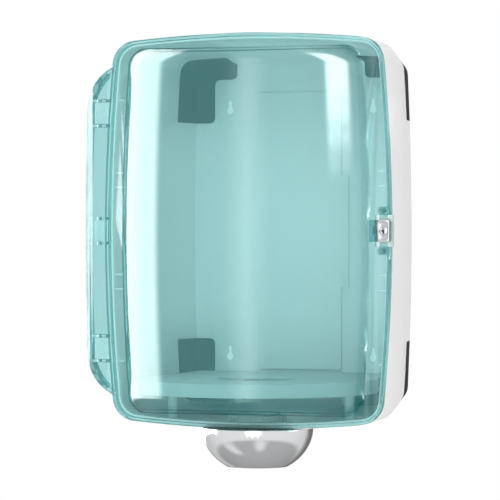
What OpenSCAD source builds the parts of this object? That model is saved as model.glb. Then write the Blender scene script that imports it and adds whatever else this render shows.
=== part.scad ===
// Wall-mounted centre-feed roll dispenser.
// X runs to the right, Y into the wall, Z up. The origin is the middle of the back, on the wall.

/* [Roll] */
// Diameter of the largest roll
roll_d = 262; // [220:1:320]
// Space between the wall and a full roll
roll_back_gap = 27; // [22:0.5:40]
// Space between a full roll and the front of the cover
roll_front_gap = 10; // [4:0.5:20]
// Space between a full roll and the sides of the cover
roll_side_gap = 2; // [1:0.5:8]

/* [Cover] */
// Height over the rim, in the middle
rim_h = 401.6; // [340:1:480]
// Wall of the cover
cover_t = 3; // [2:0.25:4]
// Flange between the bowed front and the rim, each side
flange_w = 19.8; // [16:0.1:30]
// Flange between the bowed front and the rim, top and bottom
flange_h = 13.8; // [8:0.5:20]
// Depth of the rim, from the parting line to the flange's face
skirt_d = 13.5; // [12:0.5:18]
// Radius of the rim's corners
rim_r = 25; // [18:1:36]
// Lean of the rim's long sides at the corners, in degrees
side_lean = 5.6; // [0:0.1:8]
// Lean of the rim's top and bottom at the corners, in degrees
end_lean = 5.6; // [0:0.1:9]
// How much narrower the bowed front is at its ends, in radius
front_bow = 8; // [0:0.5:10]
// Rounding of the bowed front's ends
front_round = 20; // [10:1:26]
// How far the bowed front's ends slope in towards the front
front_slope = 9; // [2:0.5:14]
// Gap between cover and housing at the parting line
part_gap = 0.6; // [0.4:0.1:1]

/* [Housing] */
// How far the parting line lies in front of the roll's axis
part_ahead = 28.5; // [27:0.5:40]
// Wall of the housing
wall = 3; // [2:0.25:4]
// Thickness of the back plate
back_t = 3.5; // [2.5:0.25:6]
// Draft of each side, from the rim to the wall
draft_w = 29; // [10:1:34]
// Draft of top and bottom, from the rim to the wall
draft_h = 16.8; // [4:1:20]
// Radius of the corners at the wall
back_r = 16; // [10:1:30]
// Radius of the round boss on top
boss_r = 66; // [60:1:70]
// How far the boss stands above the rim
boss_up = 1.8; // [1:0.1:6]
// Height of the lip that enters the cover
lip_d = 4; // [2:0.5:6]

/* [Wall fixing] */
// Distance between the keyholes, across
keyhole_w = 160.6; // [120:1:170]
// Distance between the keyholes, up and down
keyhole_h = 266.1; // [200:0.1:276]
// Drop of the keyholes' middle below the middle of the back
keyhole_drop = 2.7; // [0:0.1:6]
// Radius of the round end, which passes the screw's head
keyhole_r = 4.1; // [3.5:0.1:5]
// Width of the slot, which passes the screw's shank
keyhole_slot = 4.4; // [3.5:0.1:5]
// Length of the slot above the round end's middle
keyhole_rise = 11; // [8:0.5:14]

/* [Corner pads] */
// Width of a pad's upright leg
pad_leg_w = 25.5; // [16:0.5:30]
// Height of a pad's upright leg
pad_leg_h = 67.3; // [40:0.1:80]
// Length of a pad's level leg
pad_arm_w = 51; // [40:1:60]
// Height of a pad's level leg
pad_arm_h = 20.2; // [14:0.1:30]
// Depth of a pad, from the wall
pad_d = 45; // [20:1:60]

/* [Shelf and nozzle] */
// Height of the shelf above the rim's lowest point
shelf_up = 49.1; // [40:0.1:60]
// Radius of the shelf's round front
shelf_r = 124; // [90:1:126]
// Height of the shelf's edge
shelf_edge = 13.8; // [8:0.1:20]
// Thickness of the shelf
shelf_t = 3; // [2:0.25:4]
// Radius of the hole for the paper in the shelf
shelf_hole_r = 42; // [30:1:60]
// Radius of the nozzle bowl
bowl_r = 57.5; // [40:0.5:59]
// Height of the nozzle bowl
bowl_h = 40.3; // [36:0.1:50]
// Radius of the bowl's flat mouth
mouth_r = 31.4; // [24:0.1:36]
// Inner radius of the collar that the paper runs through
collar_r = 20; // [14:0.5:21]
// Radius of the hole that brakes the paper
outlet_r = 9; // [5:0.5:12]

/* [Hinge] */
// How far the wing over the hinge reaches beyond the rim
wing_w = 26.5; // [24:0.1:36]
// Half the height that the wing's rounded ends would reach
wing_h = 173.5; // [140:0.1:180]
// Distance of the upper and lower knuckle from the middle
knuckle_z = 121.7; // [80:0.1:126]
// Height of a knuckle
knuckle_h = 22; // [14:1:30]
// Radius of a knuckle
knuckle_r = 5; // [4.5:0.5:6]
// Radius of a hinge pin
pin_r = 2.5; // [1.5:0.25:3]

/* [Lock] */
// Width of the push button
button_w = 12.2; // [11:0.1:12.6]
// Height of the push button
button_h = 22.8; // [20:0.1:28]
// Travel of the push button
button_travel = 3; // [2:0.1:3.2]
// Radius of the key cylinder
core_r = 4.2; // [3:0.1:4.6]
// Radius of the latch's pin
latch_pin_r = 1.5; // [1:0.1:2]

/* [Fits] */
// Radial clearance of a pin that turns in a bore
turn_gap = 0.05; // [0.02:0.01:0.1]
// Clearance of a piece that slides, each side
slide_gap = 0.2; // [0.1:0.05:0.4]
// Clearance round a fixed piece
seat_gap = 0.3; // [0.1:0.05:0.5]

/* [Hidden] */
$fn = 96;
far = 500;
eps = 0.01;

roll_r = roll_d / 2;
roll_y = -(roll_back_gap + roll_r);
barrel_r = roll_r + roll_side_gap + cover_t;
front_y = roll_y - roll_r - roll_front_gap - cover_t;
barrel_y = front_y + barrel_r;
part_y = roll_y - part_ahead;
flange_y = part_y - skirt_d;
cover_back_y = part_y - part_gap;
crease_x = sqrt(barrel_r * barrel_r - (barrel_y - flange_y) * (barrel_y - flange_y));
rim_w = 2 * (crease_x + flange_w);
back_w = rim_w - 2 * draft_w;
back_h = rim_h - 2 * draft_h;
back_side_lean = side_lean / 2;
back_end_lean = end_lean / 2;
bulge = 4;
barrel_h = rim_h / 2 - flange_h;
boss_top = rim_h / 2 + boss_up;
boss_fall = 3.4;
lip_t = 1.6;

// How far the housing's walls bulge beyond a straight taper, at the share s of its depth
function bulge_at(s) = bulge * min(1.5 * s, 3 * (1 - s));
// Side wall's outer face at mid-height, at depth y
function side_x(y) = back_w / 2 + draft_w * y / part_y + bulge_at(y / part_y);
// Floor's outer face on the middle line, at depth y
function floor_z(y) = -(back_h / 2 + draft_h * y / part_y + bulge_at(y / part_y));

shelf_z = -rim_h / 2 + shelf_up;
shelf_half = back_w / 2 - wall - 6;
post_r = 5;
post_x = shelf_half - 18;
rear_post_x = 60;
rear_post_y = -back_t - 30;
posts = [[post_x, roll_y + 10], [-post_x, roll_y + 10],
         [rear_post_x, rear_post_y], [-rear_post_x, rear_post_y]];
shelf_screw_r = 1.6;
shelf_screw_head_r = 3.2;
band_w = 92;

floor_in_z = -rim_h / 2 + wall + 1.5;
bowl_top_z = -rim_h / 2 - part_gap;
bowl_bottom_z = bowl_top_z - bowl_h;
bowl_t = 2.2;
collar_t = 3.5;
collar_out_r = collar_r + collar_t;
collar_flange_r = collar_out_r + 6;
collar_flange_t = 2.4;
nut_h = 7;
nut_r = collar_out_r + 7;

hinge_x = -rim_w / 2 - 13;
hinge_y = part_y + 6.5;
knuckle_zs = [knuckle_z, 0, -knuckle_z];
lug_gap = 0.4;
lug_t = 3;
pin_len = knuckle_h + 2 * (lug_gap + lug_t);
wing_x = -rim_w / 2 - wing_w;
wing_front_y = flange_y + 6;
wing_side_y = hinge_y - 3;
wing_back_y = hinge_y + 6;
wing_root_x = -rim_w / 2 + 12;
wing_round = 51;
wing_bow = 3.5;

lock_x = rim_w / 2 - 6.2;
window_x = lock_x - button_w / 2 - 2;
window_h = button_h + 9;
frame_proud = 1.5;
button_front_y = flange_y - 1.7;
button_d = 10.4;
button_r = 2.6;
button_back_y = button_front_y + button_d;
core_tail_r = core_r - 1.6;
core_step = 6;
case_x0 = lock_x - 15.5;
case_x1 = window_x - seat_gap;
seat_t = 2;
spring_pressed = 5.3;
seat_y = button_back_y + button_travel + spring_pressed;
case_back_y = seat_y + seat_t;
seat_x1 = lock_x + 1;
case_h = 22;
slot_h = 10;
spring_r = 2.4;
spring_wire = 0.6;
spring_x = lock_x - 2;
spring_z = button_h / 2 - 3.6;
latch_x = lock_x - 12;
latch_y = part_y + 0.5;
latch_h = slot_h - 1;
latch_hub_r = 3.2;
tip_x = lock_x - 3.5;
tip_r = 1.5;
tip_y = button_back_y + 0.4 + tip_r;
strike_face_x = side_x(part_y + 27) - wall - 0.6;
strike_t = 1.2;
ledge_x = strike_face_x - strike_t - 4.1;
hook_room = 3.5;
ledge_y = case_back_y + hook_room;
nose_x = ledge_x + 2.7;
nose_y = ledge_y + strike_t + 0.6;
strike_h = 24;
strike_back_y = part_y + 27;
strike_screw_y = part_y + 20.5;
strike_screw_z = 8;
small_screw_r = 1.25;
small_head_r = 2.3;
ear_z = window_h / 2 + 4.6;
ear_x = lock_x - 4.5;
ear_t = seat_t;
boss_post_r = 3;
case_head_t = 1.6;

// Points of an arc about (cx, cy)
function arc(cx, cy, r, a0, a1, n) =
    [for (i = [0:n]) let (a = a0 + (a1 - a0) * i / n) [cx + r * cos(a), cy + r * sin(a)]];

// One quarter of a rounded rectangle whose sides bow outwards and run smoothly into its corners
function quarter(w, h, r, lean_w, lean_h) =
    let (tw = tan(lean_w),
         th = tan(lean_h),
         a = w / 2 - r * sin(lean_w) * tw / 2 - r * cos(lean_w),
         b = h / 2 - r * sin(lean_h) * th / 2 - r * cos(lean_h),
         cx = (a - b * tw / 2) / (1 - tw * th / 4),
         cz = b - cx * th / 2,
         z1 = cz + r * sin(lean_w),
         x1 = cx + r * sin(lean_h))
    concat([for (i = [0:5]) [w / 2 - z1 * tw / 2 * i * i / 36, z1 * i / 6]],
           arc(cx, cz, r, lean_w, 90 - lean_h, 8),
           [for (i = [5:-1:0]) [x1 * i / 6, h / 2 - x1 * th / 2 * i * i / 36]]);

// The whole outline from its quarter
function outline(w, h, r, lean_w, lean_h) =
    let (q = quarter(w, h, r, lean_w, lean_h),
         upper = concat([for (i = [len(q) - 1:-1:0]) [q[i][0], -q[i][1]]],
                        [for (i = [1:len(q) - 1]) q[i]]))
    concat(upper, [for (i = [len(upper) - 2:-1:1]) [-upper[i][0], upper[i][1]]]);

// Extrudes what it is given, drawn in X and Z, from y0 to the smaller y1
module along_y(y0, y1) {
    translate([0, y0, 0]) rotate([90, 0, 0]) linear_extrude(y0 - y1) children();
}

// A plate with the rim's outline, drawn in by inset
module rim_plate(y0, y1, inset) {
    along_y(y0, y1)
        polygon(outline(rim_w - 2 * inset, rim_h - 2 * inset, rim_r - inset, side_lean, end_lean));
}

// A thin slice of the housing at depth y; its walls bulge a little between wall and rim
module housing_slice(y, inset) {
    s = y / part_y;
    b = bulge_at(s) - inset;
    along_y(y + eps / 2, y - eps / 2)
        polygon(outline(back_w + 2 * draft_w * s + 2 * b,
                        back_h + 2 * draft_h * s + 2 * b,
                        back_r + (rim_r - back_r) * s - inset,
                        back_side_lean + (side_lean - back_side_lean) * s,
                        back_end_lean + (end_lean - back_end_lean) * s));
}

module housing_block(y0, y1, inset) {
    hull() {
        housing_slice(y0, inset);
        housing_slice(part_y * 2 / 3, inset);
        housing_slice(y1, inset);
    }
}

module housing_shell() {
    difference() {
        housing_block(-eps / 2, part_y + eps / 2, 0);
        housing_block(-back_t, part_y - 1, wall);
    }
}

// Keeps what it is given inside the housing's skin
module inside_housing() {
    intersection() {
        children();
        housing_block(-back_t, part_y + 1, wall / 2);
    }
}

// Everything in front of a depth, or behind it
module in_front(y) {
    translate([-far, y - far, -far]) cube([2 * far, far, 2 * far]);
}
module behind(y) {
    translate([-far, y, -far]) cube([2 * far, far, 2 * far]);
}

// Puts a shape drawn in the upper right corner in any corner
module corner(sx, sz) {
    mirror([sx < 0 ? 1 : 0, 0, 0]) mirror([0, 0, sz < 0 ? 1 : 0]) children();
}

module pad_zone() {
    x1 = back_w / 2 - pad_leg_w;
    z1 = back_h / 2 - pad_leg_h;
    x2 = back_w / 2 - pad_arm_w;
    z2 = back_h / 2 - pad_arm_h;
    r = 6;
    along_y(1, -pad_d)
        polygon(concat(arc(x1 + r, z1 + r, r, 270, 180, 5),
                       arc(x1 - r, z2 - r, r, 0, 90, 5),
                       arc(x2 + r, z2 + r, r, 270, 180, 5),
                       [[x2, far], [far, far], [far, z1]]));
}

module corner_pad(sx, sz) {
    color("#2c2c2e")
    intersection() {
        housing_shell();
        corner(sx, sz) pad_zone();
    }
}

module keyhole() {
    along_y(1, -back_t - 5) {
        circle(r = keyhole_r);
        translate([-keyhole_slot / 2, 0]) square([keyhole_slot, keyhole_rise - keyhole_slot / 2]);
        translate([0, keyhole_rise - keyhole_slot / 2]) circle(d = keyhole_slot);
    }
}

// Raised band up the back plate that keeps the roll off the screws
module back_bands() {
    wide_w = band_w + 16;
    band_t = 3;
    band_h = back_h - 2 * pad_arm_h - 30;
    along_y(-back_t + eps, -back_t - band_t) {
        translate([-band_w / 2, -band_h / 2]) square([band_w, band_h]);
        translate([-wide_w / 2, -60]) square([wide_w, 120]);
    }
}

module side_ribs() {
    rib_zs = [-135, -60, -45, 45, 60, 135];
    rib_t = 1.6;
    rib_d = 22;
    rib_w = 15;
    for (z = rib_zs)
        for (sx = [-1, 1])
            translate([sx > 0 ? side_x(part_y) - rib_w : -side_x(part_y), part_y + 2, z - rib_t / 2])
                cube([rib_w, rib_d, rib_t]);
}

module knuckle(z) {
    translate([hinge_x, hinge_y, z - knuckle_h / 2]) cylinder(r = knuckle_r, h = knuckle_h);
    translate([hinge_x, hinge_y - knuckle_r, z - knuckle_h / 2])
        cube([-rim_w / 2 + 5.5 - hinge_x, knuckle_r + 2.5, knuckle_h]);
}

module shelf_posts(r) {
    for (p = posts)
        translate([p[0], p[1], floor_z(p[1])]) cylinder(r = r, h = shelf_z - shelf_t - floor_z(p[1]));
}

module strike_block() {
    block_d = 20;
    translate([strike_face_x, strike_back_y - block_d, -strike_h / 2 - 2])
        cube([20, block_d, strike_h + 4]);
}

module lip() {
    difference() {
        union() {
            rim_plate(part_y + 6, part_y - eps, wall - 0.2);
            rim_plate(part_y, part_y - lip_d, cover_t + part_gap);
        }
        rim_plate(part_y + 7, part_y - lip_d - 1, cover_t + part_gap + lip_t);
    }
}

// The boss on top: a low dome over the roll's axis, from z0 up
module dome(inset, z0) {
    r = boss_r - inset;
    crown_z = boss_top - inset;
    crown = [for (i = [8:-1:0]) let (x = r * i / 8) [x, crown_z - boss_fall * x * x / (boss_r * boss_r)]];
    translate([0, roll_y, 0]) rotate_extrude()
        polygon(concat([[0, z0], [r, z0]], crown));
}

module rear_housing() {
    color("#e4e4e2")
    difference() {
        union() {
            difference() {
                union() {
                    housing_block(-eps / 2, part_y + eps / 2, 0);
                    intersection() {
                        dome(0, 0);
                        behind(part_y);
                    }
                    intersection() {
                        translate([0, roll_y, -rim_h / 2]) cylinder(r = boss_r, h = 20);
                        behind(part_y);
                    }
                }
                housing_block(-back_t, part_y - 1, wall);
                dome(wall, 0);
            }
            intersection() {
                translate([0, roll_y, -rim_h / 2]) cylinder(r = boss_r, h = floor_in_z + rim_h / 2);
                behind(part_y);
            }
            back_bands();
            inside_housing() {
                side_ribs();
                shelf_posts(post_r);
                strike_block();
            }
            for (z = knuckle_zs)
                knuckle(z);
            difference() {
                lip();
                translate([lock_x - 30, part_y - far / 2, -ear_z - 6]) cube([far, far, 2 * ear_z + 12]);
            }
        }
        for (sx = [-1, 1])
            for (sz = [-1, 1]) {
                corner(sx, sz) pad_zone();
                translate([sx * keyhole_w / 2, 0, sz * keyhole_h / 2 - keyhole_drop]) keyhole();
            }
        for (z = knuckle_zs)
            translate([hinge_x, hinge_y, z - knuckle_h])
                cylinder(r = pin_r + turn_gap, h = 2 * knuckle_h);
        translate([0, roll_y, -rim_h / 2 - 1]) cylinder(r = collar_out_r + seat_gap, h = 20);
        translate([0, roll_y, floor_in_z]) cylinder(r = nut_r + 2, h = 12);
        for (p = posts)
            translate([p[0], p[1], shelf_z - shelf_t - 12]) cylinder(r = shelf_screw_r, h = 13);
        for (sz = [-1, 1])
            translate([strike_face_x - 1, strike_screw_y, sz * strike_screw_z])
                rotate([0, 90, 0]) cylinder(r = small_screw_r, h = 4);
    }
}

module roll_shelf_outline(inset, z0, h) {
    translate([0, roll_y, z0]) cylinder(r = shelf_r - inset, h = h);
    translate([-shelf_half + inset, roll_y, z0])
        cube([2 * (shelf_half - inset), -roll_y - back_t - seat_gap - inset, h]);
}

module roll_shelf() {
    color("#d9dcda")
    difference() {
        roll_shelf_outline(0, shelf_z - shelf_edge, shelf_edge);
        roll_shelf_outline(2.5, shelf_z - shelf_edge - 1, shelf_edge + 1 - shelf_t);
        translate([0, roll_y, shelf_z - 20]) cylinder(r = shelf_hole_r, h = 40);
        translate([-band_w / 2 - 2, -back_t - 5, shelf_z - 20]) cube([band_w + 4, 10, 40]);
        for (p = posts)
            translate([p[0], p[1], shelf_z - shelf_t - 1]) {
                cylinder(r = shelf_screw_r + seat_gap, h = 10);
                translate([0, 0, shelf_t - 0.8]) cylinder(r = shelf_screw_head_r + seat_gap, h = 10);
            }
    }
}

module shelf_screws() {
    color("#b9bcc0")
    for (p = posts)
        translate([p[0], p[1], shelf_z - 12]) {
            cylinder(r = shelf_screw_r, h = 11);
            translate([0, 0, 12 - 1.8]) difference() {
                cylinder(r = shelf_screw_head_r, h = 1.6);
                translate([-far / 2, -0.5, 1]) cube([far, 1, 2]);
            }
        }
}

module nozzle_collar() {
    seat_d = bowl_t + 0.2;
    color("#c9cccb")
    translate([0, roll_y, 0])
    difference() {
        union() {
            translate([0, 0, bowl_top_z - seat_d])
                cylinder(r = collar_out_r, h = seat_d + floor_in_z + nut_h + 3 - bowl_top_z);
            translate([0, 0, bowl_top_z - seat_d - collar_flange_t])
                cylinder(r = collar_flange_r, h = collar_flange_t);
        }
        translate([0, 0, bowl_top_z - 10]) cylinder(r = collar_r, h = 60);
    }
}

module nozzle_nut() {
    color("#bfc3c3")
    translate([0, roll_y, floor_in_z])
    difference() {
        union() {
            cylinder(r = nut_r - 1.6, h = nut_h);
            for (i = [0:11])
                rotate([0, 0, 30 * i]) translate([nut_r - 3, -2, 0]) cube([3, 4, nut_h]);
        }
        translate([0, 0, -1]) cylinder(r = collar_out_r, h = nut_h + 2);
    }
}

// Bowl profile: a flattened round that ends in a flat mouth
function bowl_curve(inset, n) =
    let (rx = bowl_r - inset,
         rz = (bowl_h - inset) / sqrt(1 - (mouth_r / bowl_r) * (mouth_r / bowl_r)))
    [for (i = [0:n])
        let (z = (bowl_h - inset) * i / n) [rx * sqrt(1 - z * z / (rz * rz)), bowl_top_z - z]];

module nozzle_bowl() {
    outer = bowl_curve(0, 16);
    inner = bowl_curve(bowl_t, 16);
    color("#d7d9db")
    translate([0, roll_y, 0])
    rotate_extrude()
        polygon(concat([[collar_out_r, bowl_top_z]], outer,
                       [[mouth_r - 4, bowl_bottom_z], [mouth_r - 4, bowl_bottom_z + bowl_t]],
                       [for (i = [16:-1:2]) inner[i]],
                       [[inner[1][0], bowl_top_z - bowl_t], [collar_out_r, bowl_top_z - bowl_t]]));
}

module outlet_insert() {
    insert_r = mouth_r - 2.6;
    slit_r = outlet_r + 9;
    color("#8e9494")
    translate([0, roll_y, bowl_bottom_z + bowl_t])
    difference() {
        union() {
            cylinder(r = insert_r, h = 1.6);
            cylinder(r = outlet_r + 3, h = 6);
        }
        translate([0, 0, -1]) cylinder(r = outlet_r, h = 10);
        for (i = [0:5])
            rotate([0, 0, 60 * i]) translate([0, -0.6, -1]) cube([slit_r, 1.2, 10]);
    }
}

module strike_plate() {
    color("#aeb2b6")
    difference() {
        union() {
            translate([strike_face_x - strike_t, ledge_y, -strike_h / 2])
                cube([strike_t, strike_back_y - ledge_y, strike_h]);
            translate([ledge_x, ledge_y, -strike_h / 2 + 5])
                cube([strike_face_x - ledge_x, strike_t, strike_h - 10]);
        }
        for (sz = [-1, 1])
            translate([strike_face_x - 5, strike_screw_y, sz * strike_screw_z])
                rotate([0, 90, 0]) cylinder(r = small_screw_r + seat_gap, h = 10);
    }
}

module strike_screws() {
    color("#b9bcc0")
    for (sz = [-1, 1])
        translate([strike_face_x - strike_t, strike_screw_y, sz * strike_screw_z]) rotate([0, 90, 0]) {
            cylinder(r = small_screw_r, h = 4);
            translate([0, 0, -1.4]) difference() {
                cylinder(r = small_head_r, h = 1.4);
                translate([-far / 2, -0.4, -1]) cube([far, 0.8, 1.7]);
            }
        }
}

// The bowed front: a barrel whose ends are rounded and slope in towards the front
module barrel(inset) {
    r = barrel_r - inset;
    h = barrel_h - inset;
    rr = front_round - inset;
    bow = front_bow;
    z1 = h - rr;
    function bowed(z) = r - bow * z * z / (h * h);
    half = concat([for (i = [0:6]) [bowed(z1 * i / 6), z1 * i / 6]],
                  [for (p = arc(bowed(z1) - rr, z1, rr, 10, 90, 6)) p]);
    intersection() {
        translate([0, barrel_y, 0])
            rotate_extrude($fn = 128)
                polygon(concat([[0, -h]], [for (i = [len(half) - 1:-1:1]) [half[i][0], -half[i][1]]],
                               half, [[0, h]]));
        rotate([90, 0, 90]) translate([0, 0, -far])
            linear_extrude(2 * far)
                polygon([[flange_y + 20, -h], [flange_y, -h], [front_y - 5, -h + front_slope],
                         [front_y - 5, h - front_slope], [flange_y, h], [flange_y + 20, h]]);
    }
}

// Wing over the hinge: its level section, from inside the rim round to its back edge
function wing_section(inset) =
    let (rx = wing_w - inset,
         ry = wing_side_y - wing_front_y - inset)
    concat([[wing_root_x, wing_front_y + inset]],
           [for (i = [0:8]) [-rim_w / 2 - rx * pow(sin(90 * i / 8), 0.8),
                             wing_side_y - ry * pow(cos(90 * i / 8), 0.8)]],
           [[wing_x + inset, wing_back_y + 1], [wing_root_x, wing_back_y + 1]]);

// Wing over the hinge: its outline seen from the front
function wing_lobe(inset) =
    let (z1 = wing_h - wing_round,
         x1 = wing_x + wing_bow,
         up = concat([for (p = arc(x1 + wing_round, z1, wing_round - inset, 110, 180, 10)) p],
                     [for (i = [1:3])
                         let (k = 1 - i / 4) [x1 + inset - wing_bow * (1 - k * k), z1 * k]]))
    concat([[wing_root_x, up[0][1]]], up, [[wing_x + inset, 0]],
           [for (i = [len(up) - 1:-1:0]) [up[i][0], -up[i][1]]], [[wing_root_x, -up[0][1]]]);

module wing_solid(inset) {
    intersection() {
        translate([0, 0, -far / 2]) linear_extrude(far) polygon(wing_section(inset));
        along_y(0, -far) polygon(wing_lobe(inset));
    }
}

// What the wing keeps out of: the rim's inside, and the housing behind the parting line
module wing_keep_out() {
    rim_plate(0, -far, cover_t / 2);
    translate([hinge_x + 9.5, cover_back_y, -far / 2]) cube([far, far, far]);
    behind(wing_back_y);
}

module wing() {
    difference() {
        wing_solid(0);
        wing_solid(cover_t);
        wing_keep_out();
    }
}

// Two lugs that hold a pin above and below a knuckle
module lugs(z) {
    difference() {
        intersection() {
            for (s = [-1, 1])
                translate([0, 0, z + s * (knuckle_h / 2 + lug_gap + lug_t / 2) - lug_t / 2])
                    linear_extrude(lug_t) polygon(wing_section(cover_t / 6));
            along_y(0, -far) polygon(wing_lobe(cover_t / 6));
        }
        wing_keep_out();
    }
}

module cover_boss(inset, z0) {
    intersection() {
        dome(inset, z0);
        in_front(cover_back_y + (inset > 0 ? 1 : 0));
        behind(flange_y + inset);
    }
}

module front_cover() {
    color("#7fc0bf", 0.55)
    difference() {
        union() {
            difference() {
                union() {
                    intersection() {
                        barrel(0);
                        in_front(flange_y + cover_t / 2);
                    }
                    rim_plate(cover_back_y, flange_y, 0);
                    cover_boss(0, 100);
                }
                intersection() {
                    barrel(cover_t);
                    in_front(flange_y + cover_t + 1);
                }
                rim_plate(cover_back_y + 1, flange_y + cover_t, cover_t);
                cover_boss(cover_t, 100);
            }
            wing();
            for (z = knuckle_zs)
                lugs(z);
            for (sz = [-1, 1])
                translate([ear_x, flange_y + 1, sz * ear_z])
                    rotate([-90, 0, 0]) cylinder(r = boss_post_r, h = case_back_y - ear_t - flange_y - 1);
        }
        for (z = knuckle_zs)
            translate([hinge_x, hinge_y, z - pin_len / 2]) cylinder(r = pin_r, h = pin_len);
        translate([window_x, flange_y - 5, -window_h / 2]) cube([far, far, window_h]);
        for (sz = [-1, 1])
            translate([ear_x, flange_y + 4, sz * ear_z])
                rotate([-90, 0, 0]) cylinder(r = small_screw_r, h = 40);
    }
}

module hinge_pin(z) {
    color("#c3c7ca")
    translate([hinge_x, hinge_y, z - pin_len / 2]) cylinder(r = pin_r, h = pin_len);
}

// The button's rounded outline, grown by a gap
module button_outline(gap) {
    w = button_w / 2 - button_r;
    h = button_h / 2 - button_r;
    translate([lock_x, 0])
        polygon(concat(arc(w, h, button_r + gap, 0, 90, 6), arc(-w, h, button_r + gap, 90, 180, 6),
                       arc(-w, -h, button_r + gap, 180, 270, 6), arc(w, -h, button_r + gap, 270, 360, 6)));
}

module lock_frame() {
    frame_front_y = flange_y - frame_proud;
    frame_x1 = rim_w / 2 + frame_proud;
    color("#dfeeee", 0.6)
    difference() {
        translate([window_x, frame_front_y, -window_h / 2])
            cube([frame_x1 - window_x, cover_back_y - frame_front_y, window_h]);
        along_y(0, frame_front_y - 1) button_outline(slide_gap);
        translate([window_x - 1, tip_y - tip_r - 1.2, -slot_h / 2]) cube([5, far, slot_h]);
    }
}

module lock_case() {
    color("#5f9e9d")
    difference() {
        union() {
            translate([case_x0, flange_y + cover_t, -case_h / 2])
                cube([case_x1 - case_x0, case_back_y - flange_y - cover_t, case_h]);
            translate([case_x0, seat_y, -case_h / 2])
                cube([seat_x1 - case_x0, case_back_y - seat_y, case_h]);
            translate([ear_x - 4, case_back_y - ear_t, -ear_z - 4]) cube([8, ear_t, 2 * ear_z + 8]);
        }
        translate([case_x0 - 1, flange_y + cover_t + 3, -slot_h / 2]) cube([far, far, slot_h]);
        translate([latch_x, latch_y, -far / 2]) cylinder(r = latch_pin_r, h = far);
        for (sz = [-1, 1])
            translate([ear_x, 0, sz * ear_z])
                rotate([90, 0, 0]) cylinder(r = small_screw_r + seat_gap, h = far);
    }
}

module case_screws() {
    color("#b9bcc0")
    for (sz = [-1, 1])
        translate([ear_x, case_back_y, sz * ear_z]) rotate([90, 0, 0]) {
            cylinder(r = small_screw_r, h = 11);
            translate([0, 0, -case_head_t]) difference() {
                cylinder(r = small_head_r, h = case_head_t);
                translate([-far / 2, -0.4, -1]) cube([far, 0.8, 1.7]);
            }
        }
}

module latch_pin() {
    color("#c3c7ca")
    translate([latch_x, latch_y, -case_h / 2 + 0.5]) cylinder(r = latch_pin_r, h = case_h - 1);
}

module latch_hook() {
    color("#3c4043")
    translate([0, 0, -latch_h / 2])
    difference() {
        union() {
            translate([latch_x, latch_y, 0]) cylinder(r = latch_hub_r, h = latch_h);
            translate([tip_x, tip_y, 0]) cylinder(r = tip_r, h = latch_h);
            linear_extrude(latch_h) polygon([[latch_x, latch_y - 2.5], [tip_x, tip_y - 1.2],
                                             [tip_x, tip_y + 1.2], [latch_x + 2, latch_y + 2]]);
            linear_extrude(latch_h) polygon([[latch_x - 2.6, latch_y], [latch_x + 2.6, latch_y],
                                             [ledge_x - 1, nose_y - 1], [ledge_x - 1, nose_y],
                                             [nose_x, nose_y], [nose_x - 2.6, nose_y + 3.6],
                                             [ledge_x - 3.6, nose_y + 3.6]]);
        }
        translate([latch_x, latch_y, -1]) cylinder(r = latch_pin_r + turn_gap, h = latch_h + 2);
    }
}

module lock_button() {
    dish_r = core_r + 0.7;
    color("#e3e5e7")
    difference() {
        along_y(button_back_y, button_front_y) button_outline(0);
        for (z = [-4, 4])
            translate([lock_x, button_front_y + 1.2, z]) rotate([90, 0, 0]) cylinder(r = dish_r, h = 5);
        translate([lock_x - dish_r, button_front_y - 1, -4]) cube([2 * dish_r, 2.2, 8]);
        translate([lock_x, button_front_y, 0]) rotate([-90, 0, 0])
            cylinder(r = core_r + turn_gap, h = core_step + 1);
        translate([lock_x, button_front_y, 0]) rotate([-90, 0, 0])
            cylinder(r = core_tail_r + turn_gap, h = far);
    }
}

module lock_core() {
    color("#c8cbce")
    translate([lock_x, button_front_y + 0.8, 0]) rotate([-90, 0, 0])
    difference() {
        union() {
            cylinder(r = core_r, h = core_step);
            cylinder(r = core_tail_r, h = button_d - 1);
        }
        translate([-0.8, -3, -1]) cube([1.6, 6, 5]);
        translate([-2, -0.8, -1]) cube([2, 1.6, 5]);
    }
}

// A round wire coil of one spring, standing along Y
module coil(len, turns, r, wire) {
    steps = turns * 12;
    sides = 8;
    pts = [for (i = [0:steps])
               let (a = 360 * turns * i / steps)
               for (k = [0:sides - 1])
                   let (b = 360 * k / sides, rr = r + wire * cos(b) / 2)
                   [rr * cos(a), wire / 2 + (len - wire) * i / steps + wire * sin(b) / 2, rr * sin(a)]];
    faces = concat([[for (k = [0:sides - 1]) k]],
                   [for (i = [0:steps - 1])
                       for (k = [0:sides - 1])
                           [i * sides + k, (i + 1) * sides + k,
                            (i + 1) * sides + (k + 1) % sides, i * sides + (k + 1) % sides]],
                   [[for (k = [sides - 1:-1:0]) steps * sides + k]]);
    polyhedron(points = pts, faces = faces);
}

module button_springs() {
    color("#b4b8bc")
    for (sz = [-1, 1])
        translate([spring_x, button_back_y, sz * spring_z])
            coil(seat_y - button_back_y, 5, spring_r - spring_wire / 2, spring_wire);
}

rear_housing();
corner_pad(-1, 1);  // corner_pad_top_left
corner_pad(1, 1);  // corner_pad_top_right
corner_pad(-1, -1);  // corner_pad_bottom_left
corner_pad(1, -1);  // corner_pad_bottom_right
roll_shelf();
shelf_screws();
nozzle_collar();
nozzle_nut();
nozzle_bowl();
outlet_insert();
strike_plate();
strike_screws();
front_cover();
hinge_pin(knuckle_z);  // hinge_pin_top
hinge_pin(0);  // hinge_pin_middle
hinge_pin(-knuckle_z);  // hinge_pin_bottom
lock_frame();
lock_case();
case_screws();
latch_pin();
latch_hook();
lock_button();
lock_core();
button_springs();
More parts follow.
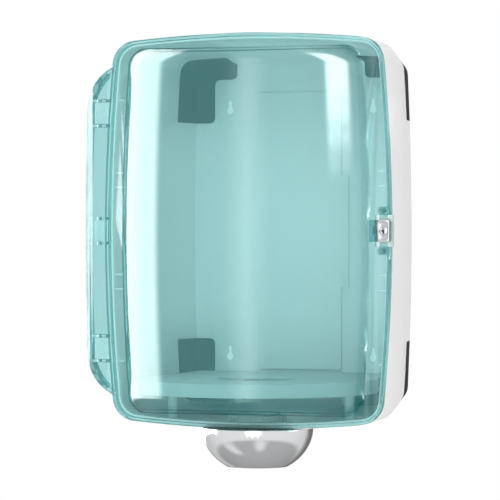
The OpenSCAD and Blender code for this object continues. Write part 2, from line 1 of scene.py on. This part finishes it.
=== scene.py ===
import math
import bpy
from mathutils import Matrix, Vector


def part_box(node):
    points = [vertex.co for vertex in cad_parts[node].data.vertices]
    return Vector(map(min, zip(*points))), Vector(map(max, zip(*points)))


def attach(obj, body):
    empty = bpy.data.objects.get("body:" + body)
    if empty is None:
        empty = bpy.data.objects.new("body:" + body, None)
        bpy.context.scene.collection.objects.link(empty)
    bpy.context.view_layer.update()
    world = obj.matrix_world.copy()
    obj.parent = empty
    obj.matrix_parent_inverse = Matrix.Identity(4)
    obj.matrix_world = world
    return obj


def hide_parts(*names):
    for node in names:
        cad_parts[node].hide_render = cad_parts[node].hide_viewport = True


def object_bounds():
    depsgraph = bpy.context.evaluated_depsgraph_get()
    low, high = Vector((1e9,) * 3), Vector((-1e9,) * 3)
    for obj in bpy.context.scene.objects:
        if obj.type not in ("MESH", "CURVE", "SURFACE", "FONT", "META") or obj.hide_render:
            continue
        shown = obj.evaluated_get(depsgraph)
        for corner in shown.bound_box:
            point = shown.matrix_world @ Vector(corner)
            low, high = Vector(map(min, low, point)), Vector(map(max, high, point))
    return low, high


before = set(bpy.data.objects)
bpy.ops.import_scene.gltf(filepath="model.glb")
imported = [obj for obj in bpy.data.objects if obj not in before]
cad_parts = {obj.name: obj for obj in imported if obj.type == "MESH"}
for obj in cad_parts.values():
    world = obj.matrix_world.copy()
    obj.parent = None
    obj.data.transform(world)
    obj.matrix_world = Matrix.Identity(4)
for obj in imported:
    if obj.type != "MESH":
        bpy.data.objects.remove(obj)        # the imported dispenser, one object for each real piece
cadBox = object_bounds()
mm = 0.001


def linear(hexText):
    # sRGB hex to the linear colour that the shaders work in
    parts = [int(hexText[i:i + 2], 16) / 255 for i in (1, 3, 5)]
    return [p / 12.92 if p <= 0.04045 else ((p + 0.055) / 1.055) ** 2.4 for p in parts] + [1.0]


def addNode(tree, kind, feeds, **settings):
    # adds one node: settings are its properties, feeds are its inputs, each a value or another node's output
    node = tree.nodes.new(kind)
    for name, value in settings.items():
        setattr(node, name, value)
    for name, value in feeds.items():
        if isinstance(value, bpy.types.NodeSocket):
            tree.links.new(value, node.inputs[name])
        else:
            node.inputs[name].default_value = value
    return node


def newMaterial(name):
    # a material with an empty node tree, and where its patterns read their place on the piece
    material = bpy.data.materials.new(name)
    material.use_nodes = True
    tree = material.node_tree
    tree.nodes.clear()
    place = addNode(tree, "ShaderNodeTexCoord", {}).outputs["Object"]
    return material, tree, place


def dressIn(piece, material):
    piece.data.materials.clear()
    piece.data.materials.append(material)


def selectOnly(piece):
    bpy.ops.object.select_all(action="DESELECT")
    piece.select_set(True)
    bpy.context.view_layer.objects.active = piece


def applyModifier(piece, kind, **settings):
    added = piece.modifiers.new(kind.lower(), kind)
    for name, value in settings.items():
        setattr(added, name, value)
    selectOnly(piece)
    bpy.ops.object.modifier_apply(modifier=added.name)


# the camera stands to the right, level with the middle of the back plate
view = {
    "spot": (0.9199, -3.0654, 0.0),
    "turn": 17.7,
    "lens": 213.7,
    "filmWidth": 36,
    "raise": -0.0384,
    "near": 0.05,
    "far": 60,
}
bpy.ops.object.camera_add(location=view["spot"], rotation=(math.pi / 2, 0, math.radians(view["turn"])))
camera = bpy.context.object
camera.name = "mainCamera"
camera.data.lens = view["lens"]
camera.data.sensor_width = view["filmWidth"]
camera.data.shift_y = view["raise"]
camera.data.clip_start = view["near"]
camera.data.clip_end = view["far"]
bpy.context.scene.camera = camera

# the walls of the studio, drawn by direction: how bright they are above, below and behind the dispenser,
# and between which heights (as a sine) and how far back (as a cosine) the one passes into the other
walls = {
    "backdrop": "#ffffff",
    "above": 1.0,
    "below": 0.56,
    "turnsDark": (-0.66, -0.5),
    "behind": 0.3,
    "turnsBack": (0.72, 0.95),
}
# white cards as the gloss sees them: direction of their middle, half their width and its soft edge, all in
# degrees, then the sine of the height where they begin and end, and how bright
cards = {
    "left": (-112, 34, 5, -0.25, 0.9, 8.0),
    "right": (98, 13, 4, 0.04, 0.9, 11.0),
    "front": (10, 9, 14, -0.42, 0.6, 2.0),
    "lowLeft": (-62, 14, 12, -0.98, -0.5, 0.4),
    "lowRight": (26, 14, 12, -0.98, -0.5, 0.4),
}
cardFade = {"bottom": 0.12, "top": 0.2}

world = bpy.data.worlds.new("paleStudio")
bpy.context.scene.world = world
world.use_nodes = True
sky = world.node_tree
sky.nodes.clear()


def skyValue(kind, feeds, **settings):
    # the first output of one more node in the studio's walls
    return addNode(sky, kind, feeds, **settings).outputs[0]


smooth = {"interpolation_type": "SMOOTHSTEP"}
facing = addNode(sky, "ShaderNodeTexCoord", {}).outputs["Generated"]
east, north, up = addNode(sky, "ShaderNodeSeparateXYZ", {"Vector": facing}).outputs
path = addNode(sky, "ShaderNodeLightPath", {})
front = skyValue("ShaderNodeMath", {0: north, 1: -1.0}, operation="MULTIPLY")
turn = skyValue("ShaderNodeMath", {0: east, 1: front}, operation="ARCTAN2")
turn = skyValue("ShaderNodeMath", {0: turn, 1: 180 / math.pi}, operation="MULTIPLY")

low, high = walls["turnsDark"]
raised = skyValue("ShaderNodeMapRange", {"Value": up, "From Min": low, "From Max": high}, **smooth)
level = skyValue("ShaderNodeMapRange", {"Value": raised, "To Min": walls["below"], "To Max": walls["above"]})
low, high = walls["turnsBack"]
back = skyValue("ShaderNodeMapRange", {"Value": north, "From Min": low, "From Max": high}, **smooth)
dim = skyValue("ShaderNodeMapRange", {"Value": back, "To Min": 1.0, "To Max": walls["behind"]})
level = skyValue("ShaderNodeMath", {0: level, 1: dim}, operation="MULTIPLY")

for centre, half, soft, low, high, bright in cards.values():
    off = skyValue("ShaderNodeMath", {0: turn, 1: float(centre)}, operation="SUBTRACT")
    off = skyValue("ShaderNodeMath", {0: off, 1: 0.0}, operation="ABSOLUTE")
    across = skyValue("ShaderNodeMapRange", {"Value": off, "From Min": half + soft, "From Max": half - soft},
                      **smooth)
    begins = skyValue("ShaderNodeMapRange",
                      {"Value": up, "From Min": low, "From Max": low + cardFade["bottom"]}, **smooth)
    ends = skyValue("ShaderNodeMapRange",
                    {"Value": up, "From Min": high, "From Max": high - cardFade["top"]}, **smooth)
    upDown = skyValue("ShaderNodeMath", {0: begins, 1: ends}, operation="MULTIPLY")
    card = skyValue("ShaderNodeMath", {0: across, 1: upDown}, operation="MULTIPLY")
    card = skyValue("ShaderNodeMath", {0: card, 1: bright}, operation="MULTIPLY")
    # a card is seen in the gloss only, so that it does not light the matt faces unevenly
    card = skyValue("ShaderNodeMath", {0: card, 1: path.outputs["Is Glossy Ray"]}, operation="MULTIPLY")
    level = skyValue("ShaderNodeMath", {0: level, 1: card}, operation="ADD")

# what the camera meets straight on is plain white
strength = skyValue("ShaderNodeMix", {"Factor": path.outputs["Is Camera Ray"], 2: level, 3: 1.0},
                    data_type="FLOAT")
light = skyValue("ShaderNodeBackground", {"Strength": strength, "Color": linear(walls["backdrop"])})
addNode(sky, "ShaderNodeOutputWorld", {"Surface": light})
bpy.context.scene.view_settings.view_transform = "Standard"

# soft lamps round the dispenser: direction and height in degrees, distance, width, height, power
lamps = {
    "frontSoftbox": (-12, 30, 2.6, 2.0, 1.6, 24),
    "lowFill": (10, -11, 2.2, 1.2, 0.4, 8),
    "rearFill": (180, 25, 2.2, 1.6, 1.6, 5),
}
middle = (Vector(cadBox[0]) + Vector(cadBox[1])) / 2
for name, (aim, rise, distance, width, height, power) in lamps.items():
    a = math.radians(aim)
    e = math.radians(rise)
    away = Vector((math.sin(a) * math.cos(e), -math.cos(a) * math.cos(e), math.sin(e)))
    bpy.ops.object.light_add(type="AREA", location=middle + away * distance)
    lamp = bpy.context.object
    lamp.name = name
    lamp.rotation_euler = away.to_track_quat("Z", "Y").to_euler()
    lamp.data.shape = "RECTANGLE"
    lamp.data.size = width
    lamp.data.size_y = height
    lamp.data.energy = power
    lamp.visible_camera = False
    lamp.visible_glossy = False

# painted plaster: matt, with a faint roller mottle about 40 mm across
floorLook = {"size": 7, "forward": 0.3, "drop": 0.5, "cuts": 6, "paint": ("#f2f2f1", "#f7f7f6"),
             "mottle": 40 * mm}
bpy.ops.mesh.primitive_plane_add(size=floorLook["size"],
                                 location=(0, -floorLook["forward"], cadBox[0][2] - floorLook["drop"]))
floor = bpy.context.object
floor.name = "paleFloor"
bpy.ops.object.mode_set(mode="EDIT")
bpy.ops.mesh.subdivide(number_cuts=floorLook["cuts"])
bpy.ops.object.mode_set(mode="OBJECT")
floor.visible_glossy = False

floorPaint, tree, place = newMaterial("mattPaintedFloor")
mottle = addNode(tree, "ShaderNodeTexNoise",
                 {"Vector": place, "Scale": 1 / floorLook["mottle"], "Detail": 4.0}).outputs["Fac"]
darker, paler = floorLook["paint"]
shade = addNode(tree, "ShaderNodeMix", {"Factor": mottle, 6: linear(darker), 7: linear(paler)},
                data_type="RGBA").outputs[2]
skin = addNode(tree, "ShaderNodeBsdfPrincipled", {"Base Color": shade, "Roughness": 0.9})
addNode(tree, "ShaderNodeOutputMaterial", {"Surface": skin.outputs[0]})
dressIn(floor, floorPaint)
print("studio ready")


def mouldedPlastic(name, hexText, roughness):
    # injection-moulded plastic: a fine spark-eroded grain breaks the gloss, and the flow of the melt
    # leaves the gloss and the shade a little uneven over a few centimetres. The real grain is about
    # 0.1 mm, too fine to show, so it is drawn coarser
    look = {"flow": 45 * mm, "mottle": 0.03, "glossSpread": 0.05, "grain": 0.6 * mm, "grainDepth": 0.2 * mm,
            "grainStrength": 0.06, "IOR": 1.54}
    material, tree, place = newMaterial(name)
    flow = addNode(tree, "ShaderNodeTexNoise", {"Vector": place, "Scale": 1 / look["flow"], "Detail": 3.0,
                                                "Roughness": 0.55}).outputs["Fac"]
    grain = addNode(tree, "ShaderNodeTexNoise",
                    {"Vector": place, "Scale": 1 / look["grain"], "Detail": 2.0}).outputs["Fac"]
    base = linear(hexText)
    darker = [c * (1 - look["mottle"]) for c in base[:3]] + [1.0]
    shade = addNode(tree, "ShaderNodeMix", {"Factor": flow, 6: darker, 7: base}, data_type="RGBA").outputs[2]
    gloss = addNode(tree, "ShaderNodeMapRange", {"Value": flow, "To Min": roughness - look["glossSpread"],
                                                 "To Max": roughness + look["glossSpread"]}).outputs[0]
    relief = addNode(tree, "ShaderNodeBump", {"Height": grain, "Strength": look["grainStrength"],
                                              "Distance": look["grainDepth"]}).outputs[0]
    skin = addNode(tree, "ShaderNodeBsdfPrincipled",
                   {"Base Color": shade, "Roughness": gloss, "Normal": relief, "IOR": look["IOR"]})
    addNode(tree, "ShaderNodeOutputMaterial", {"Surface": skin.outputs[0]})
    return material


def platedMetal(name, hexText, roughness, mark=0.05, paintedEdgeShadeText=None):
    # plated metal: full metal with a fine directional haze from polishing or tumbling, the lines drawn
    # 0.4 mm apart. Given an edge colour, the base colour darkens to it where the face is seen at a slant:
    # painted shade that draws a dark outline round the piece
    look = {"lines": 0.4 * mm, "stretch": (1.0, 1.0, 0.15), "smoothest": 0.02, "edgeShadePower": 2.4}
    material, tree, place = newMaterial(name)
    stretched = addNode(tree, "ShaderNodeMapping", {"Vector": place, "Scale": look["stretch"]}).outputs[0]
    lines = addNode(tree, "ShaderNodeTexNoise",
                    {"Vector": stretched, "Scale": 1 / look["lines"], "Detail": 3.0}).outputs["Fac"]
    gloss = addNode(tree, "ShaderNodeMapRange", {"Value": lines, "To Max": roughness + mark,
                                                 "To Min": max(look["smoothest"], roughness - mark)})
    shade = linear(hexText)
    if paintedEdgeShadeText:
        # painted shade: the base colour turns dark towards the silhouette, a painted dark outline
        slant = addNode(tree, "ShaderNodeLayerWeight", {"Blend": 0.5}).outputs["Facing"]
        rim = addNode(tree, "ShaderNodeMath", {0: slant, 1: look["edgeShadePower"]}, operation="POWER").outputs[0]
        shade = addNode(tree, "ShaderNodeMix", {"Factor": rim, 6: linear(hexText), 7: linear(paintedEdgeShadeText)},
                        data_type="RGBA").outputs[2]
    skin = addNode(tree, "ShaderNodeBsdfPrincipled",
                   {"Base Color": shade, "Roughness": gloss.outputs[0], "Metallic": 1.0})
    addNode(tree, "ShaderNodeOutputMaterial", {"Surface": skin.outputs[0]})
    return material


def clearPlastic(name, faceOn, grazing, haze, hazeShare):
    # polished see-through plastic. A ray that meets the wall at a slant runs through more of it, so the
    # tint deepens from faceOn to grazing; haze is the milky share that the pigment scatters back. A moulded
    # wall is never quite flat: it ripples faintly over about 20 mm. Lamps shine through it unhindered, as
    # they nearly do through a thin clear wall
    look = {"ripple": 20 * mm, "rippleDepth": 0.5 * mm, "rippleStrength": 0.02, "tintPower": 3.0,
            "mirrorPower": 4.5, "mirrorHeadOn": 0.045, "mirrorGrazing": 0.28, "roughness": 0.03}
    material, tree, place = newMaterial(name)
    wave = addNode(tree, "ShaderNodeTexNoise",
                   {"Vector": place, "Scale": 1 / look["ripple"], "Detail": 1.0}).outputs["Fac"]
    relief = addNode(tree, "ShaderNodeBump", {"Height": wave, "Strength": look["rippleStrength"],
                                              "Distance": look["rippleDepth"]}).outputs[0]
    slant = addNode(tree, "ShaderNodeLayerWeight", {"Blend": 0.5}).outputs["Facing"]
    depth = addNode(tree, "ShaderNodeMath", {0: slant, 1: look["tintPower"]}, operation="POWER").outputs[0]
    tint = addNode(tree, "ShaderNodeMix", {"Factor": depth, 6: linear(faceOn), 7: linear(grazing)},
                   data_type="RGBA").outputs[2]
    through = addNode(tree, "ShaderNodeBsdfTransparent", {"Color": tint}).outputs[0]
    milk = addNode(tree, "ShaderNodeBsdfDiffuse", {"Normal": relief, "Color": linear(haze)}).outputs[0]
    body = addNode(tree, "ShaderNodeMixShader", {0: hazeShare, 1: through, 2: milk}).outputs[0]
    mirror = addNode(tree, "ShaderNodeBsdfAnisotropic", {"Normal": relief, "Color": linear("#ffffff"),
                                                         "Roughness": look["roughness"]}).outputs[0]
    steep = addNode(tree, "ShaderNodeMath", {0: slant, 1: look["mirrorPower"]}, operation="POWER").outputs[0]
    share = addNode(tree, "ShaderNodeMapRange", {"Value": steep, "To Min": look["mirrorHeadOn"],
                                                 "To Max": look["mirrorGrazing"]}).outputs[0]
    skin = addNode(tree, "ShaderNodeMixShader", {0: share, 1: body, 2: mirror}).outputs[0]
    unhindered = addNode(tree, "ShaderNodeBsdfTransparent", {}).outputs[0]
    path = addNode(tree, "ShaderNodeLightPath", {})
    lampLight = addNode(tree, "ShaderNodeMath", {0: path.outputs["Is Shadow Ray"],
                                                 1: path.outputs["Is Diffuse Ray"]}, operation="MAXIMUM")
    whole = addNode(tree, "ShaderNodeMixShader", {0: lampLight.outputs[0], 1: skin, 2: unhindered})
    addNode(tree, "ShaderNodeOutputMaterial", {"Surface": whole.outputs[0]})
    return material


def mouldedRubber(name, hexText):
    # moulded rubber: matt, a fine pitted skin about 1 mm across and a dusty bloom over a few centimetres
    look = {"pits": 1.2 * mm, "pitDepth": 0.3 * mm, "pitStrength": 0.12, "bloom": 20 * mm, "bloomGain": 1.3,
            "bloomLift": 0.002, "roughness": 0.8, "IOR": 1.5, "specular": 0.1}
    material, tree, place = newMaterial(name)
    pits = addNode(tree, "ShaderNodeTexVoronoi", {"Vector": place, "Scale": 1 / look["pits"]})
    bloom = addNode(tree, "ShaderNodeTexNoise",
                    {"Vector": place, "Scale": 1 / look["bloom"], "Detail": 5.0}).outputs["Fac"]
    base = linear(hexText)
    dusty = [c * look["bloomGain"] + look["bloomLift"] for c in base[:3]] + [1.0]
    shade = addNode(tree, "ShaderNodeMix", {"Factor": bloom, 6: base, 7: dusty}, data_type="RGBA").outputs[2]
    relief = addNode(tree, "ShaderNodeBump",
                     {"Height": pits.outputs["Distance"], "Strength": look["pitStrength"],
                      "Distance": look["pitDepth"]}).outputs[0]
    skin = addNode(tree, "ShaderNodeBsdfPrincipled",
                   {"Base Color": shade, "Normal": relief, "Roughness": look["roughness"],
                    "IOR": look["IOR"], "Specular IOR Level": look["specular"]})
    addNode(tree, "ShaderNodeOutputMaterial", {"Surface": skin.outputs[0]})
    return material


whiteAbs = mouldedPlastic("whiteAbsMoulded", "#eeeded", 0.42)
greyAbs = mouldedPlastic("lightGreyAbsMoulded", "#b2b8b8", 0.45)
darkAcetal = mouldedPlastic("darkAcetalMoulded", "#3a4244", 0.38)
rubber = mouldedRubber("blackRubberMoulded", "#1f2021")
zincSteel = platedMetal("zincPlatedSteel", "#c3c6c9", 0.3)
chrome = platedMetal("chromePlatePolished", "#c4c6c8", 0.07, mark=0.03)
nickel = platedMetal("nickelPlateSatin", "#cfd1d2", 0.24)
# the bowl's dark outline is painted shade, its base colour darkened where it is seen at a slant
silverBowlEdgeShaded = platedMetal("silverBowlPaintedEdgeShade", "#dcdedf", 0.08, mark=0.02, paintedEdgeShadeText="#26282a")
tealCover = clearPlastic("tealSanPolished", "#cfe8e8", "#2c7877", "#33bdbd", 0.09)
clearFrame = clearPlastic("clearSanPolished", "#f2fafa", "#cfe6e6", "#bfe0e0", 0.05)
print("materials ready")


def softenEdges(piece, isSoft, width, segments):
    # rounds the sharp edges that isSoft picks by their two ends, more than the rest
    mesh = piece.data
    weights = mesh.attributes.new("bevel_weight_edge", "FLOAT", "EDGE")
    for edge in mesh.edges:
        a, b = (mesh.vertices[i].co for i in edge.vertices)
        weights.data[edge.index].value = 1.0 if isSoft(a, b) else 0.0
    applyModifier(piece, "BEVEL", width=width, segments=segments, limit_method="WEIGHT",
                  use_clamp_overlap=True)
    left = mesh.attributes.get("bevel_weight_edge")
    if left:
        mesh.attributes.remove(left)


def refine(name, look, soften=None):
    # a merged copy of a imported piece, its sharp moulded edges broken by a small radius
    merge = {"doubles": 0.01 * mm, "flat": 0.6, "sharp": 38.0, "smooth": 32.0, "segments": 2}
    piece = bpy.data.objects.new(name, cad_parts[look["node"]].data.copy())
    bpy.context.scene.collection.objects.link(piece)
    selectOnly(piece)
    bpy.ops.object.mode_set(mode="EDIT")
    bpy.ops.mesh.select_all(action="SELECT")
    bpy.ops.mesh.remove_doubles(threshold=merge["doubles"])
    bpy.ops.mesh.dissolve_limited(angle_limit=math.radians(merge["flat"]))
    bpy.ops.object.mode_set(mode="OBJECT")
    if soften:
        softenEdges(piece, soften, look["rimRadius"], look["rimSegments"])
    applyModifier(piece, "BEVEL", width=look["edge"], segments=merge["segments"], limit_method="ANGLE",
                  angle_limit=math.radians(merge["sharp"]), use_clamp_overlap=True, loop_slide=True)
    selectOnly(piece)
    bpy.ops.object.shade_smooth_by_angle(angle=math.radians(merge["smooth"]))
    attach(piece, look["body"])
    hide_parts(look["node"])
    dressIn(piece, look["finish"])
    print("piece", name, len(piece.data.polygons), "faces")


# in each dictionary, edge is the radius that breaks the sharp edges
housingShell = {"node": "rear_housing", "body": "housing", "slot": "white_housing", "finish": whiteAbs,
                "edge": 0.7 * mm}
refine("housingShell", housingShell)

for corner in ("top_left", "top_right", "bottom_left", "bottom_right"):
    pad = {"node": "corner_pad_" + corner, "body": "housing", "slot": "black_rubber", "finish": rubber,
           "edge": 0.9 * mm}
    refine("pad" + corner.title().replace("_", ""), pad)

rollShelf = {"node": "roll_shelf", "body": "housing", "slot": "grey_plastic", "finish": greyAbs,
             "edge": 0.6 * mm}
refine("rollShelf", rollShelf)

nozzleCollar = {"node": "nozzle_collar", "body": "housing", "slot": "grey_plastic", "finish": greyAbs,
                "edge": 0.4 * mm}
refine("nozzleCollar", nozzleCollar)

nozzleNut = {"node": "nozzle_nut", "body": "housing", "slot": "grey_plastic", "finish": greyAbs,
             "edge": 0.5 * mm}
refine("nozzleNut", nozzleNut)

nozzleBowl = {"node": "nozzle_bowl", "body": "housing", "slot": "smoke_plastic", "finish": silverBowlEdgeShaded,
              "edge": 0.6 * mm}
refine("nozzleBowl", nozzleBowl)

outletInsert = {"node": "outlet_insert", "body": "housing", "slot": "dark_plastic", "finish": darkAcetal,
                "edge": 0.3 * mm}
refine("outletInsert", outletInsert)

strikePlate = {"node": "strike_plate", "body": "housing", "slot": "steel", "finish": zincSteel,
               "edge": 0.2 * mm}
refine("strikePlate", strikePlate)

# the rim's front edge is the one that fingers meet: it has a radius of its own
frontCover = {"node": "front_cover", "body": "cover", "slot": "tinted_cover", "finish": tealCover,
              "edge": 0.8 * mm, "rimRadius": 2.2 * mm, "rimSegments": 4}
rim = {
    "frameStandsProud": 1.5 * mm,       # the lock's frame, in front of the flange and beyond the rim
    "planeSlack": 0.02 * mm,
    "clearOfLock": 1 * mm,
    "sideBand": 13.5 * mm,              # how far the outline may lie inside the rim's greatest width
    "endBand": 9.5 * mm,
}
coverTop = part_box("front_cover")[1].z
lockLow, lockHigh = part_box("lock_frame")
flangeDepth = lockLow.y + rim["frameStandsProud"]
rimHalf = lockHigh.x - rim["frameStandsProud"]


def onRimEdge(a, b):
    # an edge in the flange's plane, on the outer outline of the rim, clear of the lock's window
    flat = all(abs(p.y - flangeDepth) < rim["planeSlack"] for p in (a, b))
    away = all(abs(p.z) > lockHigh.z + rim["clearOfLock"] or p.x < 0 for p in (a, b))
    outside = all(abs(p.x) > rimHalf - rim["sideBand"] or abs(p.z) > coverTop - rim["endBand"]
                  for p in (a, b))
    return flat and away and outside


refine("frontCover", frontCover, soften=onRimEdge)

lockFrame = {"node": "lock_frame", "body": "cover", "slot": "clear_plastic", "finish": clearFrame,
             "edge": 0.5 * mm}
refine("lockFrame", lockFrame)

lockCase = {"node": "lock_case", "body": "cover", "slot": "tinted_cover", "finish": tealCover,
            "edge": 0.3 * mm}
refine("lockCase", lockCase)

latchHook = {"node": "latch_hook", "body": "latch", "slot": "dark_plastic", "finish": darkAcetal,
             "edge": 0.2 * mm}
refine("latchHook", latchHook)

lockButton = {"node": "lock_button", "body": "button", "slot": "chrome", "finish": chrome,
              "edge": 0.4 * mm}
refine("lockButton", lockButton)

lockCore = {"node": "lock_core", "body": "core", "slot": "steel", "finish": nickel, "edge": 0.2 * mm}
refine("lockCore", lockCore)

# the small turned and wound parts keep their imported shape
smallParts = {
    "shelf_screws": zincSteel, "strike_screws": zincSteel, "case_screws": zincSteel,
    "hinge_pin_top": nickel, "hinge_pin_middle": nickel, "hinge_pin_bottom": nickel,
    "latch_pin": nickel, "button_springs": zincSteel,
}
for node, finish in smallParts.items():
    dressIn(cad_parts[node], finish)
print("all pieces dressed")
